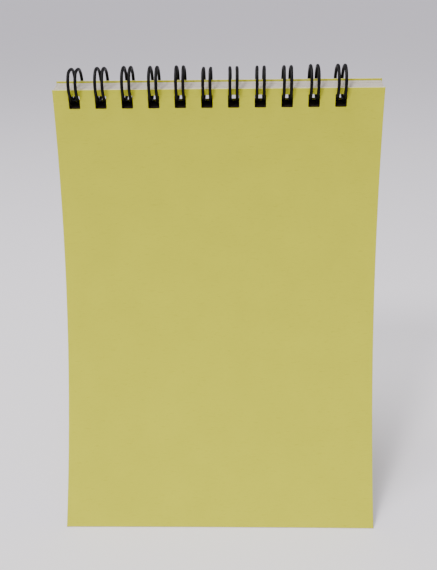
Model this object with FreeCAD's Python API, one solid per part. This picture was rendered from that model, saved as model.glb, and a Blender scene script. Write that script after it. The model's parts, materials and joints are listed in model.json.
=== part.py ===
"""A6 sketchbook, bound along its short top edge with twin-loop wire.

It stands on its bottom edge and leans back. Its top stands upright, and under its own weight it
bows forwards towards the bottom. Every leaf is an arc about one line, so the stack stays closed.
Millimetres, +Z up, the front cover faces -Y. The origin is the bottom centre of the whole object.
"""

import FreeCAD, Part
import math
import os

# Pages and covers
page_width = 105.0
page_height = 148.0
bow_radius = 275.0
cover_thickness = 0.45
sheet_thickness = 0.18
sheet_count = 30
leaf_gap = 0.023

# How far the leaves climb from the front of the stack to the back, because they hang on round loops
last_sheet_rise = 1.30
back_cover_rise = 1.95

# Binding wire: a comb of double loops, three to the inch
loop_pitch = 25.4 / 3
wire_diameter = 1.0
strand_spacing = 2.25
loop_axis_behind_middle = 0.09
seam_angle = -30.0
seam_gap = 0.5
seam_bend_radius = 0.8
end_stub = 1.2

# Punched holes
first_hole_from_side = 6.8
least_last_hole_from_side = 6.8
hole_to_edge = 1.95
hole_side_clearance = 0.18
wire_clearance = 0.05
hole_foot_clearance = 0.12
turned_leaf_gap = 0.153

# The stack's thickness, front face to back face
wire_radius = wire_diameter / 2
sheet_step = sheet_thickness + leaf_gap
first_sheet_depth = cover_thickness + leaf_gap
back_cover_depth = first_sheet_depth + sheet_count * sheet_step
stack_thickness = back_cover_depth + cover_thickness
last_sheet_depth = back_cover_depth - sheet_step

# The loops' centre line, measured back from the front cover's face and up from its top edge.
# It stands so high that a leaf turned right over clears the back cover's top edge.
first_sheet_rise = last_sheet_rise * first_sheet_depth / last_sheet_depth
loop_axis_rise = (back_cover_rise + first_sheet_rise + turned_leaf_gap) / 2
loop_axis_depth = stack_thickness / 2 + loop_axis_behind_middle
hole_edge_reach = math.hypot(loop_axis_depth, loop_axis_rise + hole_to_edge)
loop_radius = hole_edge_reach + wire_radius + wire_clearance
loop_outside = loop_radius + wire_radius

# A hole is as wide as one double loop and deep enough for the loop to turn in every leaf
hole_width = strand_spacing + wire_diameter + 2 * hole_side_clearance
hole_foot_reach = loop_outside + hole_foot_clearance
middle_rise = last_sheet_rise * loop_axis_depth / last_sheet_depth
back_face_reach = back_cover_depth - loop_axis_depth
middle_hole_foot = hole_foot_reach + middle_rise
back_hole_foot = math.sqrt(hole_foot_reach ** 2 - back_face_reach ** 2) + back_cover_rise
hole_height = max(middle_hole_foot, back_hole_foot) - loop_axis_rise - hole_to_edge
hole_row = page_width - first_hole_from_side - least_last_hole_from_side
loop_count = 1 + int(hole_row / loop_pitch)
first_loop_x = first_hole_from_side - page_width / 2

# Where the front cover's top edge stands, so that the object's bottom centre is the origin
bottom_angle = page_height / bow_radius
foremost = bow_radius * (math.cos(bottom_angle) - 1)
rearmost = loop_axis_depth + loop_outside
top_edge_y = -(foremost + rearmost) / 2
top_edge_z = (bow_radius + cover_thickness) * math.sin(bottom_angle)
bow_centre_y = top_edge_y - bow_radius
loop_axis_y = top_edge_y + loop_axis_depth
loop_axis_z = top_edge_z + loop_axis_rise

along_x = FreeCAD.Vector(1, 0, 0)


def bow_point(radius, angle, x):
    """The point at this radius about the bow's centre line, at an angle in radians below level."""
    y = bow_centre_y + radius * math.cos(angle)
    z = top_edge_z - radius * math.sin(angle)
    return FreeCAD.Vector(x, y, z)


def bowed_slab(near, far, top, bottom, x_low, x_high):
    """A slab between two radii and two angles about the bow's centre line."""
    middle = (top + bottom) / 2
    front = Part.Arc(
        bow_point(near, top, x_low), bow_point(near, middle, x_low), bow_point(near, bottom, x_low)
    )
    back = Part.Arc(
        bow_point(far, bottom, x_low), bow_point(far, middle, x_low), bow_point(far, top, x_low)
    )
    foot = Part.LineSegment(bow_point(near, bottom, x_low), bow_point(far, bottom, x_low))
    head = Part.LineSegment(bow_point(far, top, x_low), bow_point(near, top, x_low))
    outline = Part.Wire([front.toShape(), foot.toShape(), back.toShape(), head.toShape()])
    return Part.Face(outline).extrude(along_x * (x_high - x_low))


def hole_punches(near, far, top):
    """One row of punches through a leaf whose top edge is at this angle."""
    hole_top = top + hole_to_edge / near
    hole_bottom = hole_top + hole_height / near
    punches = []
    for index in range(loop_count):
        x = first_loop_x + index * loop_pitch
        x_low = x - hole_width / 2
        x_high = x + hole_width / 2
        punches.append(bowed_slab(near - 1, far + 1, hole_top, hole_bottom, x_low, x_high))
    return Part.makeCompound(punches)


def leaf(depth, thickness, rise):
    """A punched leaf, depth behind the front face, its top edge this far above the front cover's."""
    near = bow_radius + depth
    far = near + thickness
    top = -rise / near
    bottom = top + page_height / near
    half_width = page_width / 2
    slab = bowed_slab(near, far, top, bottom, -half_width, half_width)
    return slab.cut(hole_punches(near, far, top)).Solids[0]


class WireBender:
    """Follows the wire from one end to the other and keeps each stretch as a solid."""

    def __init__(self, start, direction):
        self.place = start
        self.direction = direction
        self.stretches = []

    def section(self):
        ring = Part.makeCircle(wire_radius, self.place, self.direction)
        return Part.Face(Part.Wire(ring))

    def straight(self, length):
        self.stretches.append(self.section().extrude(self.direction * length))
        self.place = self.place + self.direction * length

    def bend(self, centre, axis, degrees):
        self.stretches.append(self.section().revolve(centre, axis, degrees))
        turn = FreeCAD.Rotation(axis, degrees)
        self.place = centre + turn.multVec(self.place - centre)
        self.direction = turn.multVec(self.direction)

    def bend_towards(self, side, radius, degrees):
        """Bends with this radius towards a direction square to the wire."""
        centre = self.place + side * radius
        self.bend(centre, self.direction.cross(side), degrees)


def loop_tangent(degrees):
    """The way the loop runs at this angle about its axis, counted up from straight back."""
    angle = math.radians(degrees)
    return FreeCAD.Vector(0, -math.sin(angle), math.cos(angle))


def loop_point(degrees, x):
    angle = math.radians(degrees)
    y = loop_axis_y + loop_radius * math.cos(angle)
    z = loop_axis_z + loop_radius * math.sin(angle)
    return FreeCAD.Vector(x, y, z)


def binding_wire():
    """One wire: bars along the seam behind the back cover, and a double loop at every hole."""
    loop_axis = FreeCAD.Vector(0, loop_axis_y, loop_axis_z)
    start_angle = seam_angle - math.degrees(seam_bend_radius / loop_radius)
    tip_reach = seam_gap + strand_spacing / 2
    tip_angle = seam_angle + math.degrees(tip_reach / loop_radius) - 360
    sweep = start_angle - tip_angle
    up_at_start = loop_tangent(start_angle)
    bar_length = loop_pitch - strand_spacing - 2 * seam_bend_radius
    first_strand_x = first_loop_x - strand_spacing / 2
    start_x = first_strand_x - seam_bend_radius - end_stub
    start = loop_point(start_angle, start_x) + up_at_start * seam_bend_radius
    bender = WireBender(start, along_x)
    bender.straight(end_stub)
    for index in range(loop_count):
        bender.bend_towards(up_at_start * -1, seam_bend_radius, 90)
        bender.bend(loop_axis, along_x * -1, sweep)
        bender.bend_towards(along_x, strand_spacing / 2, 180)
        bender.bend(loop_axis, along_x, sweep)
        bender.bend_towards(along_x, seam_bend_radius, 90)
        last = index == loop_count - 1
        bender.straight(end_stub if last else bar_length)
    first = bender.stretches[0]
    return first.multiFuse(bender.stretches[1:]).Solids[0]


def sheets():
    """The drawing sheets, front to back, each a little higher than the one before it."""
    made = {}
    for index in range(sheet_count):
        depth = first_sheet_depth + index * sheet_step
        rise = last_sheet_rise * depth / last_sheet_depth
        made[f"sheet_{index + 1:02d}"] = leaf(depth, sheet_thickness, rise)
    return made


def all_pieces():
    pieces = {"front_cover": leaf(0, cover_thickness, 0)}
    pieces.update(sheets())
    pieces["back_cover"] = leaf(back_cover_depth, cover_thickness, back_cover_rise)
    pieces["binding_wire"] = binding_wire()
    return pieces


def main():
    os.makedirs("parts", exist_ok=True)
    pieces = all_pieces()
    for name, shape in pieces.items():
        if not shape.isValid():
            raise ValueError(f"{name} isn't a valid solid")
        shape.exportStep(os.path.join("parts", f"{name}.step"))
    print(f"{len(pieces)} pieces, stack {stack_thickness:.2f} mm thick, {loop_count} double loops")
    print(f"loop radius {loop_radius:.3f}, hole {hole_width:.2f} by {hole_height:.2f}")
    print(f"loop axis at y {loop_axis_y:.4f}, z {loop_axis_z:.4f}")
    print(f"front cover's top edge at y {top_edge_y:.4f}, z {top_edge_z:.4f}")


main()
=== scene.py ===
# %% [markdown]
# # A pocket sketchbook on a black twin-loop wire
#
# The sketchbook stands on its bottom edge: a card cover, thirty sheets of drawing paper, a back
# cover, and one wire bent into eleven double loops along the top. The pad stands almost straight
# at the top, and its own weight bows it forwards towards the foot.
#
# The imported model comes first. It holds every piece at its place, and the hinges that the leaves
# turn on. What is built below only dresses it, and its box is printed.

# %% Load the imported model
import json
import math
import random

import bmesh
import bpy
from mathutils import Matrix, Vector


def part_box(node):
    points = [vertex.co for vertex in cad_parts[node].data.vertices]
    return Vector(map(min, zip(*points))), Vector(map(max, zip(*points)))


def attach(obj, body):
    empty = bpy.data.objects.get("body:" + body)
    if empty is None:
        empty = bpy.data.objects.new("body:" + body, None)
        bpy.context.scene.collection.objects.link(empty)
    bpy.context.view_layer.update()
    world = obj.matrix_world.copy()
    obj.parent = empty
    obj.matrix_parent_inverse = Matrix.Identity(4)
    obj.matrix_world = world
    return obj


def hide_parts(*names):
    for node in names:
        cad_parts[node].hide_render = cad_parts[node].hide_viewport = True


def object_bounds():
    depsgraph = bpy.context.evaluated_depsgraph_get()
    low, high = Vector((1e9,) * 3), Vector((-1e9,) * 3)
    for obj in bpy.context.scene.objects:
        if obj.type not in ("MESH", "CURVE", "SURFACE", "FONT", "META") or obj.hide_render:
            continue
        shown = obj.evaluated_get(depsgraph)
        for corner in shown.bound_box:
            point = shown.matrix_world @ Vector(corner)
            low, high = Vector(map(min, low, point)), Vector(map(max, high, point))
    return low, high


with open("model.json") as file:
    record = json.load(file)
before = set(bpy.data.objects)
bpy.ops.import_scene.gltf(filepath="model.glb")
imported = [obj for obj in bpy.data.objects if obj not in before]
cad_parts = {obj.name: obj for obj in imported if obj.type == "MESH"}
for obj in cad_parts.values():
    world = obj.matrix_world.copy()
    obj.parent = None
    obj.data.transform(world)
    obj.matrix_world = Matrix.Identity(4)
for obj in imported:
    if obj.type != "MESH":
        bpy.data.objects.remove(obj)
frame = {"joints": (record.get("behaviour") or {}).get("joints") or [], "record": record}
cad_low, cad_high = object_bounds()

MM = 0.001
print("CAD box, mm:", [round(side / MM, 2) for side in cad_high - cad_low])

# %% [markdown]
# ## The camera
#
# A camera is an object that looks along its own -Z. It could be aimed at a target, but a place
# and three turns say more plainly how it is held: a little higher than the pad, looking down by
# 23 degrees, and so near the cover that its sides draw in below.

# %% Camera
eye = bpy.data.cameras.new("eye")
eye.lens = 44.62
eye.clip_start = 0.01
camera = bpy.data.objects.new("camera", eye)
camera.location = (0.00817, -0.21362, 0.17136)
# The turns about X, Y and Z: up from straight down, a slight roll, and a swing to the left.
camera.rotation_euler = [math.radians(turn) for turn in (66.953, 0.761, 1.857)]
bpy.context.scene.collection.objects.link(camera)
bpy.context.scene.camera = camera
print("camera height, mm:", round(camera.location.z / MM, 1))

# %% [markdown]
# ## Sizes
#
# The pad is made to a few real sizes: an A6 page, card and cartridge paper of a known thickness,
# and binding wire at three loops to the inch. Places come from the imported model: the front
# cover's box says where its top edge is, and the first hinge says where the loops' centre is.

# %% Sizes of the leaves
page_width = 105 * MM
page_height = 148 * MM
bow_radius = 275 * MM
cover_thickness = 0.45 * MM
sheet_thickness = 0.18 * MM
sheet_count = 30
leaf_gap = 0.023 * MM
last_sheet_rise = 1.30 * MM
back_cover_rise = 1.95 * MM
sheet_corner = 0.4 * MM
sheet_inset = 0.5 * MM

sheet_step = sheet_thickness + leaf_gap
first_sheet_depth = cover_thickness + leaf_gap
last_sheet_depth = first_sheet_depth + (sheet_count - 1) * sheet_step
back_cover_depth = last_sheet_depth + sheet_step

_, cover_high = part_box("front_cover")
top_edge_y = cover_high.y - cover_thickness
top_edge_z = cover_high.z
bow_centre_y = top_edge_y - bow_radius
print("stack, mm:", round((back_cover_depth + cover_thickness) / MM, 2))

# %% Sizes of the holes and loops
loop_pitch = 25.4 / 3 * MM
loop_count = 11
first_hole_from_side = 6.8 * MM
first_loop_x = first_hole_from_side - page_width / 2
hole_width = 3.61 * MM
hole_height = 3.98 * MM
hole_to_edge = 1.95 * MM
hole_corner = 0.30 * MM
# The rim round each hole is the strip that takes the holes' painted shade on a sheet.
hole_shade_rim = 0.16 * MM
wire_radius = 0.5 * MM
strand_spacing = 2.25 * MM
loop_axis = Vector(frame["joints"][0]["pos_m"])
loop_radius = cad_high.z - loop_axis.z - wire_radius
print("loop radius, mm:", round(loop_radius / MM, 3))

# %% [markdown]
# ## Colours and nodes
#
# A finish is a small graph of nodes that ends in one shader. The graph could be clicked together
# by hand, but a helper that adds one node with its settings and links keeps every recipe short.
# Colours are written as the sRGB hex values that a paint chart gives, and one function turns
# them into the linear light that the renderer works in.

# %% Helpers for finishes
def linear(hex_colour):
    """Linear red, green, blue and 1 from an sRGB hex value such as #c0ffee."""
    channels = [int(hex_colour[i:i + 2], 16) / 255 for i in (1, 3, 5)]
    bent = [c / 12.92 if c <= 0.04045 else ((c + 0.055) / 1.055) ** 2.4 for c in channels]
    return (*bent, 1.0)


def add_node(tree, kind, settings=None, inputs=None, links=None):
    """Adds a node, sets its properties and input values, and links outputs into it."""
    node = tree.nodes.new(kind)
    for name, value in (settings or {}).items():
        setattr(node, name, value)
    for name, value in (inputs or {}).items():
        node.inputs[name].default_value = value
    for name, output in (links or {}).items():
        tree.links.new(output, node.inputs[name])
    return node


def new_finish(name, **values):
    """A material with one shader, with values for its sockets. A name's _ stands for a space."""
    material = bpy.data.materials.new(name)
    material.use_nodes = True
    shader = material.node_tree.nodes["Principled BSDF"]
    for socket, value in values.items():
        shader.inputs[socket.replace("_", " ")].default_value = value
    return material, material.node_tree, shader


def per_mm(size):
    """A pattern's scale, so that one repeat is this many millimetres."""
    return 1 / (size * MM)


print("mid grey #808080 in linear light:", round(linear("#808080")[0], 3))

# %% [markdown]
# ## Finish: pulp-dyed cover card
#
# The covers are uncoated card, about 300 g/m2, dyed olive yellow in the pulp and rolled smooth. Dyed
# pulp has no painted skin: the colour drifts softly in clouds a centimetre wide, where the fibres
# settled thicker, and single fibres show as faint flecks. Smooth rolling leaves a dull, even
# face with a fine tooth. A flat colour would look like plastic, so three noises are mixed: wide
# clouds, fibre flecks, and a fine tooth that is only bump.

# %% Cover card
def cover_card(name, face_colour, fleck_colour, tooth_height):
    card, tree, shader = new_finish(name, Roughness=0.78, IOR=1.5, Specular_IOR_Level=0.32)
    place = add_node(tree, "ShaderNodeTexCoord").outputs["Object"]
    clouds = add_node(
        tree, "ShaderNodeTexNoise",
        inputs={"Scale": per_mm(11), "Detail": 3.0, "Roughness": 0.55},
        links={"Vector": place},
    )
    cloud_tone = add_node(
        tree, "ShaderNodeMapRange",
        inputs={"From Min": 0.3, "From Max": 0.7, "To Min": 0.975, "To Max": 1.025},
        links={"Value": clouds.outputs["Fac"]},
    )
    # Real fibres are 0.03 mm wide. They are drawn 0.3 mm wide and 2 mm long, so that they show.
    fibre_lie = add_node(
        tree, "ShaderNodeMapping",
        inputs={"Scale": (per_mm(2.0), per_mm(0.5), per_mm(0.3)), "Rotation": (0.0, 0.5, 0.0)},
        links={"Vector": place},
    )
    fibres = add_node(
        tree, "ShaderNodeTexNoise",
        inputs={"Scale": 1.0, "Detail": 2.0, "Roughness": 0.6, "Distortion": 0.6},
        links={"Vector": fibre_lie.outputs["Vector"]},
    )
    fleck_share = add_node(
        tree, "ShaderNodeMapRange",
        inputs={"From Min": 0.58, "From Max": 0.78, "To Min": 0.0, "To Max": 0.55},
        links={"Value": fibres.outputs["Fac"]},
    )
    flecked = add_node(
        tree, "ShaderNodeMix", settings={"data_type": "RGBA"},
        links={"Factor": fleck_share.outputs["Result"]},
    )
    flecked.inputs["A"].default_value = linear(face_colour)
    flecked.inputs["B"].default_value = linear(fleck_colour)
    clouded = add_node(
        tree, "ShaderNodeVectorMath", settings={"operation": "SCALE"},
        links={"Vector": flecked.outputs["Result"], "Scale": cloud_tone.outputs["Result"]},
    )
    tree.links.new(clouded.outputs["Vector"], shader.inputs["Base Color"])
    # The tooth is about 0.1 mm on real card, and is drawn at 0.4 mm.
    tooth = add_node(
        tree, "ShaderNodeTexNoise",
        inputs={"Scale": per_mm(0.4), "Detail": 4.0, "Roughness": 0.65},
        links={"Vector": place},
    )
    bump = add_node(
        tree, "ShaderNodeBump",
        inputs={"Strength": 0.35, "Distance": tooth_height},
        links={"Height": tooth.outputs["Fac"]},
    )
    tree.links.new(bump.outputs["Normal"], shader.inputs["Normal"])
    return card


dyed_card = cover_card("pulp_dyed_card", "#bfbe28", "#a6a41c", 0.05 * MM)
# The cut edge is paler than the face: partly the card's own cut fibres, partly a painted highlight
# where the edges catch the light.
pale_card_edge_and_highlight = cover_card("pale_card_edge_and_highlight", "#d8d58e", "#b8b462", 0.12 * MM)
print("finishes:", dyed_card.name, pale_card_edge_and_highlight.name)

# %% [markdown]
# ## Finish: cartridge paper
#
# Drawing paper is bleached and sized, a warm white with a light tooth that holds graphite. Its
# cut edges are painted greyer than its face: painted shade, for the light lost between the sheets.
# No two sheets were cut quite alike. Each sheet carries its own tone, written into its mesh, and its
# finishes read that. It gives the block its fine lines at no cost.

# %% Drawing paper
def drawing_paper(name, colour, shade_colour):
    paper, tree, shader = new_finish(name, Roughness=0.85, IOR=1.5, Specular_IOR_Level=0.3)
    place = add_node(tree, "ShaderNodeTexCoord").outputs["Object"]
    tone = add_node(tree, "ShaderNodeAttribute", settings={"attribute_name": "sheet_tone"})
    pulp = add_node(
        tree, "ShaderNodeTexNoise",
        inputs={"Scale": per_mm(1.6), "Detail": 3.0, "Roughness": 0.6},
        links={"Vector": place},
    )
    shade = add_node(
        tree, "ShaderNodeMath", settings={"operation": "MULTIPLY"},
        links={0: tone.outputs["Fac"], 1: pulp.outputs["Fac"]},
    )
    colours = add_node(
        tree, "ShaderNodeMix", settings={"data_type": "RGBA"},
        links={"Factor": shade.outputs["Value"]},
    )
    colours.inputs["A"].default_value = linear(colour)
    colours.inputs["B"].default_value = linear(shade_colour)
    tree.links.new(colours.outputs["Result"], shader.inputs["Base Color"])
    # Cartridge paper's tooth is near 0.2 mm, and is drawn at 0.6 mm.
    tooth = add_node(
        tree, "ShaderNodeTexNoise",
        inputs={"Scale": per_mm(0.6), "Detail": 3.0, "Roughness": 0.6},
        links={"Vector": place},
    )
    bump = add_node(
        tree, "ShaderNodeBump",
        inputs={"Strength": 0.4, "Distance": 0.05 * MM},
        links={"Height": tooth.outputs["Fac"]},
    )
    tree.links.new(bump.outputs["Normal"], shader.inputs["Normal"])
    return paper


cartridge_paper = drawing_paper("cartridge_paper", "#efebe1", "#e6e0d2")
# The cut edges' grey is painted shade, for the light lost between the sheets.
paper_edge_painted_shade = drawing_paper("paper_edge_painted_shade", "#bdb5a7", "#867e71")
# The sheets' hole walls and a thin rim round each hole are painted near black: painted shade, for
# the dark deep in the holes.
painted_hole_shade = drawing_paper("punched_hole_painted_shade", "#33291f", "#221b15")
print("finishes:", cartridge_paper.name, paper_edge_painted_shade.name, painted_hole_shade.name)

# %% [markdown]
# ## Finish: nylon-coated wire
#
# Binding wire is soft steel drawn to 1 mm and dipped in black nylon. The coat is satin: it takes
# a soft, narrow highlight along the wire, and pulls into a faint ripple as it cools. So the base
# isn't metallic, and a small bump breaks the highlight up.

# %% Wire coat
nylon_coat, tree, shader = new_finish(
    "black_nylon_coat", Roughness=0.45, IOR=1.53, Specular_IOR_Level=0.10
)
place = add_node(tree, "ShaderNodeTexCoord").outputs["Object"]
handling = add_node(
    tree, "ShaderNodeTexNoise",
    inputs={"Scale": per_mm(2.5), "Detail": 4.0, "Roughness": 0.6},
    links={"Vector": place},
)
rubbed = add_node(
    tree, "ShaderNodeMix", settings={"data_type": "RGBA"},
    links={"Factor": handling.outputs["Fac"]},
)
rubbed.inputs["A"].default_value = linear("#050506")
rubbed.inputs["B"].default_value = linear("#0c0b0d")
tree.links.new(rubbed.outputs["Result"], shader.inputs["Base Color"])
sheen = add_node(
    tree, "ShaderNodeMapRange",
    inputs={"To Min": 0.40, "To Max": 0.55},
    links={"Value": handling.outputs["Fac"]},
)
tree.links.new(sheen.outputs["Result"], shader.inputs["Roughness"])
ripple = add_node(
    tree, "ShaderNodeTexNoise",
    inputs={"Scale": per_mm(0.7), "Detail": 2.0},
    links={"Vector": place},
)
bump = add_node(
    tree, "ShaderNodeBump",
    inputs={"Strength": 0.25, "Distance": 0.03 * MM},
    links={"Height": ripple.outputs["Fac"]},
)
tree.links.new(bump.outputs["Normal"], shader.inputs["Normal"])
print("finish:", nylon_coat.name)

# %% [markdown]
# ## A punched leaf
#
# Every leaf, cover or sheet, is the same thing: a rectangle with a row of punched holes near its
# top edge, a little thickness, and a bow. Cutting the holes with a boolean would leave long thin
# triangles that shade badly. Instead a grid is laid whose lines run along the holes' edges; the
# cells inside a hole are left out, and a fan of triangles rounds each of its corners.

# %% Lines of the leaf's grid
def spread(low, high, longest):
    """Numbers from low to high, in equal steps no longer than longest."""
    steps = max(1, math.ceil((high - low) / longest - 1e-6))
    return [low + (high - low) * i / steps for i in range(steps + 1)]


def grid_lines(stops, longest):
    """The stops, with more lines between them where they are far apart."""
    lines = [stops[0]]
    for low, high in zip(stops, stops[1:]):
        lines += spread(low, high, longest)[1:]
    return lines


widest_column = 3.0 * MM
tallest_row = 2.6 * MM
corner_parts = 4
hole_sides = []
for index in range(loop_count):
    middle = first_loop_x + index * loop_pitch
    hole_sides.append((middle - hole_width / 2, middle + hole_width / 2))
hole_top = hole_to_edge
hole_foot = hole_to_edge + hole_height
print("holes:", len(hole_sides), "from x, mm:", round(hole_sides[0][0] / MM, 2))

# %% Flat leaf
def flat_leaf(corner_radius, side_inset):
    """A flat, thin leaf: x across, y down from the top edge."""
    half = page_width / 2 - side_inset
    corner_steps = [corner_radius * i / corner_parts for i in range(corner_parts + 1)]
    across = [-half + step for step in corner_steps]
    for left, right in hole_sides:
        across += [left - hole_shade_rim, left, left + hole_corner]
        across += [right - hole_corner, right, right + hole_shade_rim]
    across += [half - step for step in reversed(corner_steps)]
    down = corner_steps + [hole_top - hole_shade_rim, hole_top, hole_top + hole_corner]
    down += [hole_foot - hole_corner, hole_foot, hole_foot + hole_shade_rim]
    down += [page_height - step for step in reversed(corner_steps)]
    columns = grid_lines(across, widest_column)
    rows = grid_lines(down, tallest_row)
    net = bmesh.new()
    corners = [[net.verts.new((x, y, 0)) for y in rows] for x in columns]
    for i in range(len(columns) - 1):
        for j in range(len(rows) - 1):
            x = (columns[i] + columns[i + 1]) / 2
            y = (rows[j] + rows[j + 1]) / 2
            square = [corners[i][j], corners[i + 1][j], corners[i + 1][j + 1], corners[i][j + 1]]
            sides = [s for s in hole_sides if s[0] < x < s[1] and hole_top < y < hole_foot]
            if not sides:
                net.faces.new(square)
                continue
            fill_hole_corner(net, square, sides[0], x, y)
    for corner in [v for v in net.verts if not v.link_faces]:
        net.verts.remove(corner)
    round_outer_corners(net, corner_radius, half)
    return net


def near_edge(spot, low, high):
    """The edge of a hole that this spot is near enough to for a rounded corner, or None."""
    if spot - low < hole_corner:
        return low
    if high - spot < hole_corner:
        return high
    return None


def fill_hole_corner(net, square, sides, x, y):
    """Fills the outside of a hole's rounded corner with a fan, if this cell is at a corner."""
    near_side = near_edge(x, *sides)
    near_end = near_edge(y, hole_top, hole_foot)
    if near_side is None or near_end is None:
        return
    tip = min(square, key=lambda v: math.hypot(v.co.x - near_side, v.co.y - near_end))
    far = max(square, key=lambda v: (v.co - tip.co).length)
    along_side = next(v for v in square if v not in (tip, far) and abs(v.co.x - tip.co.x) < 1e-9)
    along_end = next(v for v in square if v not in (tip, far, along_side))
    arc = [along_side]
    for step in range(1, corner_parts):
        turn = math.pi / 2 * step / corner_parts
        reach_x = (tip.co.x - far.co.x) * math.cos(turn)
        reach_y = (tip.co.y - far.co.y) * math.sin(turn)
        arc.append(net.verts.new((far.co.x + reach_x, far.co.y + reach_y, 0)))
    arc.append(along_end)
    for start, end in zip(arc, arc[1:]):
        net.faces.new((tip, start, end))


def round_outer_corners(net, radius, half):
    """Draws the leaf's four corners in to a round, as a worn or die-cut corner is."""
    for corner in net.verts:
        out_x = (abs(corner.co.x) - (half - radius)) / radius
        out_y = (abs(corner.co.y - page_height / 2) - (page_height / 2 - radius)) / radius
        if out_x <= 0 or out_y <= 0:
            continue
        round_x = out_x * math.sqrt(1 - out_y ** 2 / 2)
        round_y = out_y * math.sqrt(1 - out_x ** 2 / 2)
        corner.co.x += math.copysign((round_x - out_x) * radius, corner.co.x)
        corner.co.y += math.copysign((round_y - out_y) * radius, corner.co.y - page_height / 2)


trial = flat_leaf(sheet_corner, sheet_inset)
print("faces of a flat sheet:", len(trial.faces))

# %% [markdown]
# ## Thickness, soft edges and finishes
#
# The flat leaf is thickened while it is flat, because then every edge is square and can be
# softened by the same small amount. Only the covers get soft edges: on a sheet they would be too
# small to see. A leaf takes three finishes, one for its faces, one for its cut edges and one for
# its holes and the thin rim round them, which on a sheet is painted shade. They are shared out
# now, while a face's direction still tells them apart.

# %% Thickness and soft edges
square_edge = math.radians(60)


def thicken(net, thickness):
    """Gives the flat leaf a second face behind the first, and walls between the two."""
    bmesh.ops.recalc_face_normals(net, faces=net.faces[:])
    if net.faces[0].normal.z > 0:
        bmesh.ops.reverse_faces(net, faces=net.faces[:])
    thick = bmesh.ops.extrude_face_region(
        net, geom=net.verts[:] + net.edges[:] + net.faces[:], use_keep_orig=True
    )
    for part in thick["geom"]:
        if isinstance(part, bmesh.types.BMVert):
            part.co.z = thickness
    bmesh.ops.recalc_face_normals(net, faces=net.faces[:])


def soften_edges(net, edge_round, half, thickness):
    """Rounds the square edges, and keeps every point inside the leaf's own box."""
    rims = [e for e in net.edges if e.calc_face_angle(0) > square_edge]
    bmesh.ops.bevel(
        net, geom=rims, offset=edge_round, segments=2, profile=0.5, affect="EDGES",
        clamp_overlap=True,
    )
    for corner in net.verts:
        corner.co.x = min(max(corner.co.x, -half), half)
        corner.co.y = min(max(corner.co.y, 0), page_height)
        corner.co.z = min(max(corner.co.z, 0), thickness)


thicken(trial, sheet_thickness)
print("faces once it is thick:", len(trial.faces))

# %% Finish of each face
flat_enough = 0.98
leaf_face, cut_edge, hole_shade_slot = range(3)


def in_hole_shade(spot):
    """Whether a point of the flat leaf is on a hole's wall or on the thin rim round it, where a
    sheet takes painted shade.
    """
    if not hole_top - hole_shade_rim < spot.y < hole_foot + hole_shade_rim:
        return False
    return any(left - hole_shade_rim < spot.x < right + hole_shade_rim for left, right in hole_sides)


def share_out_finishes(net):
    """Gives each face of the leaf one of its three finishes."""
    net.normal_update()
    for face in net.faces:
        face.smooth = True
        # A hole's wall and rim take the third finish: on a sheet, a near-black painted shade.
        if in_hole_shade(face.calc_center_median()):
            face.material_index = hole_shade_slot
        elif abs(face.normal.z) > flat_enough:
            face.material_index = leaf_face
        else:
            face.material_index = cut_edge


share_out_finishes(trial)
print("faces at the holes:", sum(face.material_index == hole_shade_slot for face in trial.faces))

# %% [markdown]
# ## The bow
#
# Only now is the leaf bent: a point's depth becomes its distance from the bow's centre line, and
# its way down the page becomes an angle about that line. All leaves bend about the one line, so
# the stack stays closed, like a bent pack of cards. A used pad is never quite true either: its
# foot stands a millimetre further back on the right.

# %% Twist of the pad
foot_twist = 1.0 * MM
foot_curl = 0.18 * MM


def warp(across, down):
    """How far back the pad's slight twist takes a point: nothing at the top, most at the foot."""
    side = 2 * across / page_width
    return (down / page_height) ** 2 * (foot_twist * (1 + side) / 2 + foot_curl * (1 - side ** 2))


print("foot's right corner stands back, mm:", round(warp(page_width / 2, page_height) / MM, 2))


# %% Bow
def bow(net, depth, rise, place):
    """Bends the leaf about the pad's one line. Its place says how it hangs off true."""
    near = bow_radius + depth
    shift_x, shift_down, skew = place
    for corner in net.verts:
        across = corner.co.x * (1 - abs(shift_x) / (page_width / 2)) + shift_x
        down = corner.co.y + shift_down + skew * across / page_width
        angle = (down - rise) / near
        radius = near + corner.co.z
        y = bow_centre_y + radius * math.cos(angle) + warp(across, down)
        z = top_edge_z - radius * math.sin(angle)
        corner.co = (across, y, z)


bow(trial, 0, 0, (0, 0, 0))
foremost = min(corner.co.y for corner in trial.verts)
print("foot stands forward of the top, mm:", round((top_edge_y - foremost) / MM, 1))
trial.free()

# %% Leaf object
crease = math.radians(50)


def make_leaf(
    name, body, finishes, depth, thickness, rise, corner_radius, edge_round, side_inset, place
):
    """Builds one leaf, bows it, and lets it ride on its body."""
    net = flat_leaf(corner_radius, side_inset)
    thicken(net, thickness)
    if edge_round:
        soften_edges(net, edge_round, page_width / 2 - side_inset, thickness)
    share_out_finishes(net)
    bow(net, depth, rise, place)
    mesh = bpy.data.meshes.new(name)
    net.to_mesh(mesh)
    net.free()
    mesh.set_sharp_from_angle(angle=crease)
    for finish in finishes:
        mesh.materials.append(finish)
    leaf = bpy.data.objects.new(name, mesh)
    bpy.context.scene.collection.objects.link(leaf)
    if edge_round:
        leaf.modifiers.new("even_shading", "WEIGHTED_NORMAL")
    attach(leaf, body)
    return leaf


body_of_node = {}
for body, nodes in frame["record"]["behaviour"]["bodies"].items():
    for node in nodes:
        body_of_node[node] = body
print("bodies:", len(set(body_of_node.values())))

# %% [markdown]
# ## Front cover
#
# The front cover is a single piece of card. Its edges are barely rounded by the cutter, and its
# corners have been handled, so they are a little rounder than the sheets' corners. It is built
# first, because everything behind it is seen against it.

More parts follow.
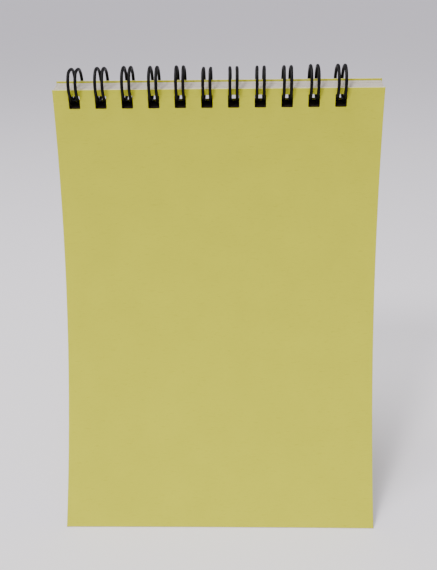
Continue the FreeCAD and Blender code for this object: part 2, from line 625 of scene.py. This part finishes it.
# %% Front cover
front_card = make_leaf(
    "front_cover_card", body_of_node["front_cover"], (dyed_card, pale_card_edge_and_highlight, dyed_card),
    depth=0, thickness=cover_thickness, rise=0, corner_radius=0.9 * MM,
    edge_round=0.13 * MM, side_inset=0, place=(0, 0, 0),
)
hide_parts("front_cover")
print("front cover faces:", len(front_card.data.polygons))

# %% [markdown]
# ## Drawing sheets
#
# Thirty sheets hang on round loops, so each stands a little higher than the one before it. The
# holes are wider than the wire, so each sheet also hangs a hair to one side, and its edges catch
# the light on their own. A seeded random number gives every sheet its place and its edge tone.

# %% Sheets
# The most that a sheet hangs sideways, down and askew, in mm, and the range of its edge's tone.
most_off_true = (0.05, 0.04, 0.04)
lightest_edge = 0.3
darkest_edge = 2.0

hang = random.Random(6)
for index in range(sheet_count):
    node = f"sheet_{index + 1:02d}"
    depth = first_sheet_depth + index * sheet_step
    sideways, down, skew = (hang.uniform(-most, most) * MM for most in most_off_true)
    # A sheet's holes take a near-black painted shade, and its cut edges a paper greyed as painted
    # shade.
    sheet = make_leaf(
        f"{node}_paper", body_of_node[node], (cartridge_paper, paper_edge_painted_shade, painted_hole_shade),
        depth=depth, thickness=sheet_thickness, rise=last_sheet_rise * depth / last_sheet_depth,
        corner_radius=sheet_corner, edge_round=0, side_inset=sheet_inset,
        place=(sideways, down, skew),
    )
    tone = sheet.data.attributes.new("sheet_tone", "FLOAT", "POINT")
    edge_tone = hang.uniform(lightest_edge, darkest_edge)
    tone.data.foreach_set("value", [edge_tone] * len(sheet.data.vertices))
    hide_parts(node)
print("sheets:", sheet_count, "faces each:", len(sheet.data.polygons))

# %% [markdown]
# ## Back cover
#
# The back cover is cut from the same card as the front. It stands highest, so its inner face
# shows as a thin yellow line above the pages.

# %% Back cover
back_card = make_leaf(
    "back_cover_card", body_of_node["back_cover"], (dyed_card, pale_card_edge_and_highlight, dyed_card),
    depth=back_cover_depth, thickness=cover_thickness, rise=back_cover_rise,
    corner_radius=0.7 * MM, edge_round=0.14 * MM, side_inset=0, place=(0, 0, 0),
)
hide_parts("back_cover")
print("back cover faces:", len(back_card.data.polygons))

# %% [markdown]
# ## Binding wire
#
# The wire starts as a flat comb: bars along the seam, and one long double finger at each hole.
# The binder pushes the fingers through the holes and rolls them into rings, until their tips
# meet the bars behind the back cover. The same two steps are taken here: first the route is laid
# out flat, then it is rolled. Modelling each ring apart would leave joints that the real wire
# doesn't have.

# %% Flat comb
seam_angle = math.radians(-30)
seam_gap = 0.5 * MM
seam_bend_radius = 0.8 * MM
end_stub = 1.2 * MM
finger_reach = 2 * math.pi * loop_radius - seam_gap
longest_step = 0.55 * MM
bend_steps = 5
tip_steps = 8


def arc_points(centre, radius, start, end, steps):
    """Points of an arc in the flat comb, without its first one."""
    points = []
    for step in range(1, steps + 1):
        turn = math.radians(start + (end - start) * step / steps)
        points.append((centre[0] + radius * math.cos(turn), centre[1] + radius * math.sin(turn)))
    return points


def flat_comb():
    """The wire's route before it is rolled: along the seam, and the reach away from it."""
    bend = seam_bend_radius
    tip = strand_spacing / 2
    route = []
    for index in range(loop_count):
        middle = first_loop_x + index * loop_pitch
        left = middle - tip
        right = middle + tip
        if index == 0:
            route.append((left - bend - end_stub, 0.0))
        route.append((left - bend, 0.0))
        route += arc_points((left - bend, bend), bend, -90, 0, bend_steps)
        side = spread(bend, finger_reach - tip, longest_step)[1:]
        route += [(left, reach) for reach in side]
        route += arc_points((middle, finger_reach - tip), tip, 180, 0, tip_steps)
        route += [(right, reach) for reach in reversed(side[:-1])]
        route.append((right, bend))
        route += arc_points((right + bend, bend), bend, 180, 270, bend_steps)
    route.append((route[-1][0] + end_stub, 0.0))
    return route


comb = flat_comb()
print("points along the comb:", len(comb))

# %% [markdown]
# ### Rolling the comb
#
# A closing jaw never rolls eleven loops alike. Some crowns sit a few tenths of a millimetre low,
# and some lean. Each loop gets its own crown, and the rest of it stays round, because the holes of
# a leaf that is turned right over fit the loop closely on both sides of the crown.

# %% Crowns of the loops
# A crown starts at this share of the radius above the loop's centre, and bends more to its top.
crown_start = 0.74
crown_power = 1.3
# How far each crown sits low, and how far it leans to the right, in mm.
crown_drops = [0.45, 0.22, 0.0, 0.05, 0.0, 0.55, 0.42, 0.32, 0.28, 0.02, 0.0]
crown_leans = [0.10, -0.05, 0.08, 0.0, -0.10, 0.06, -0.08, 0.05, 0.10, -0.06, 0.04]


def roll(along, reach):
    """Where a point of the flat comb lies once the comb is rolled into loops."""
    angle = seam_angle - reach / loop_radius
    y = loop_axis.y + loop_radius * math.cos(angle)
    z = loop_axis.z + loop_radius * math.sin(angle)
    index = min(loop_count - 1, max(0, round((along - first_loop_x) / loop_pitch)))
    height = (z - loop_axis.z) / loop_radius
    share = max(0.0, (height - crown_start) / (1 - crown_start)) ** crown_power
    z -= crown_drops[index] * share * MM
    x = along + crown_leans[index] * share * MM
    return (x, y, z)


route = [roll(along, reach) for along, reach in comb]
print("crowns sit low, mm: up to", max(crown_drops))

# %% Wire object
line = bpy.data.curves.new("wire_line", "CURVE")
line.dimensions = "3D"
line.bevel_depth = wire_radius
line.bevel_resolution = 4
line.use_fill_caps = True
spline = line.splines.new("POLY")
spline.points.add(len(route) - 1)
for point, place in zip(spline.points, route):
    point.co = (*place, 1.0)
drawn = bpy.data.objects.new("wire_line", line)
bpy.context.scene.collection.objects.link(drawn)
bpy.context.view_layer.update()
wire_mesh = bpy.data.meshes.new_from_object(drawn)
bpy.data.objects.remove(drawn)
wire_mesh.name = "binding_wire_coated"
wire_mesh.shade_smooth()
wire_mesh.materials.clear()
wire_mesh.materials.append(nylon_coat)
wire = bpy.data.objects.new("binding_wire_coated", wire_mesh)
bpy.context.scene.collection.objects.link(wire)
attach(wire, body_of_node["binding_wire"])
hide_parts("binding_wire")
print("wire faces:", len(wire_mesh.polygons))

# %% [markdown]
# ## Floor and light
#
# The stage is a wide, pale, matt floor. It runs so far behind the pad that it fills the view,
# and no wall is needed. Light comes as from a bright room: a large soft lamp overhead, which
# brightens the foot most because the foot leans up to it, a low fill from the front, and a wide
# window on the left that lays the soft shadow on the right. A window that is far off is made as a
# sun with a wide angle, because it has to light the far floor as strongly as the near one.

# %% Floor
floor_mesh = bpy.data.meshes.new("floor")
floor_reach = 60.0
floor_mesh.from_pydata(
    [
        (-floor_reach, -floor_reach, 0), (floor_reach, -floor_reach, 0),
        (floor_reach, floor_reach, 0), (-floor_reach, floor_reach, 0),
    ],
    [], [(0, 1, 2, 3)],
)
floor = bpy.data.objects.new("floor", floor_mesh)
bpy.context.scene.collection.objects.link(floor)
floor_paint, tree, shader = new_finish("matt_floor_paint", Roughness=0.7)
shader.inputs["Base Color"].default_value = linear("#eeebf2")
floor_mesh.materials.append(floor_paint)
print("floor, m:", 2 * floor_reach)


# %% Lamps
def add_light(name, kind, power, colour, place, target, **settings):
    """A light at a place, aimed at a target, with the settings that its kind takes."""
    light = bpy.data.lights.new(name, kind)
    light.energy = power
    light.color = linear(colour)[:3]
    for setting, value in settings.items():
        setattr(light, setting, value)
    holder = bpy.data.objects.new(name, light)
    holder.location = place
    holder.rotation_euler = (Vector(target) - Vector(place)).to_track_quat("-Z", "Y").to_euler()
    bpy.context.scene.collection.objects.link(holder)


add_light(
    "overhead", "AREA", 8.0, "#fffdfa", (-0.15, -0.10, 0.9), (-0.05, -0.05, 0),
    shape="SQUARE", size=0.4,
)
add_light(
    "front_fill", "AREA", 1.5, "#fbfbff", (0.35, -1.7, 0.45), (0, 0, 0.07),
    shape="SQUARE", size=1.6,
)
# A sun shines the same way everywhere, so only the direction to its target counts.
add_light(
    "window", "SUN", 1.6, "#fffcfb", (0, 0, 0), (0.55, 0.85, -0.95), angle=math.radians(12)
)
sky = bpy.data.worlds.new("studio")
sky.use_nodes = True
sky.node_tree.nodes["Background"].inputs["Color"].default_value = linear("#dcdae2")
sky.node_tree.nodes["Background"].inputs["Strength"].default_value = 0.75
bpy.context.scene.world = sky
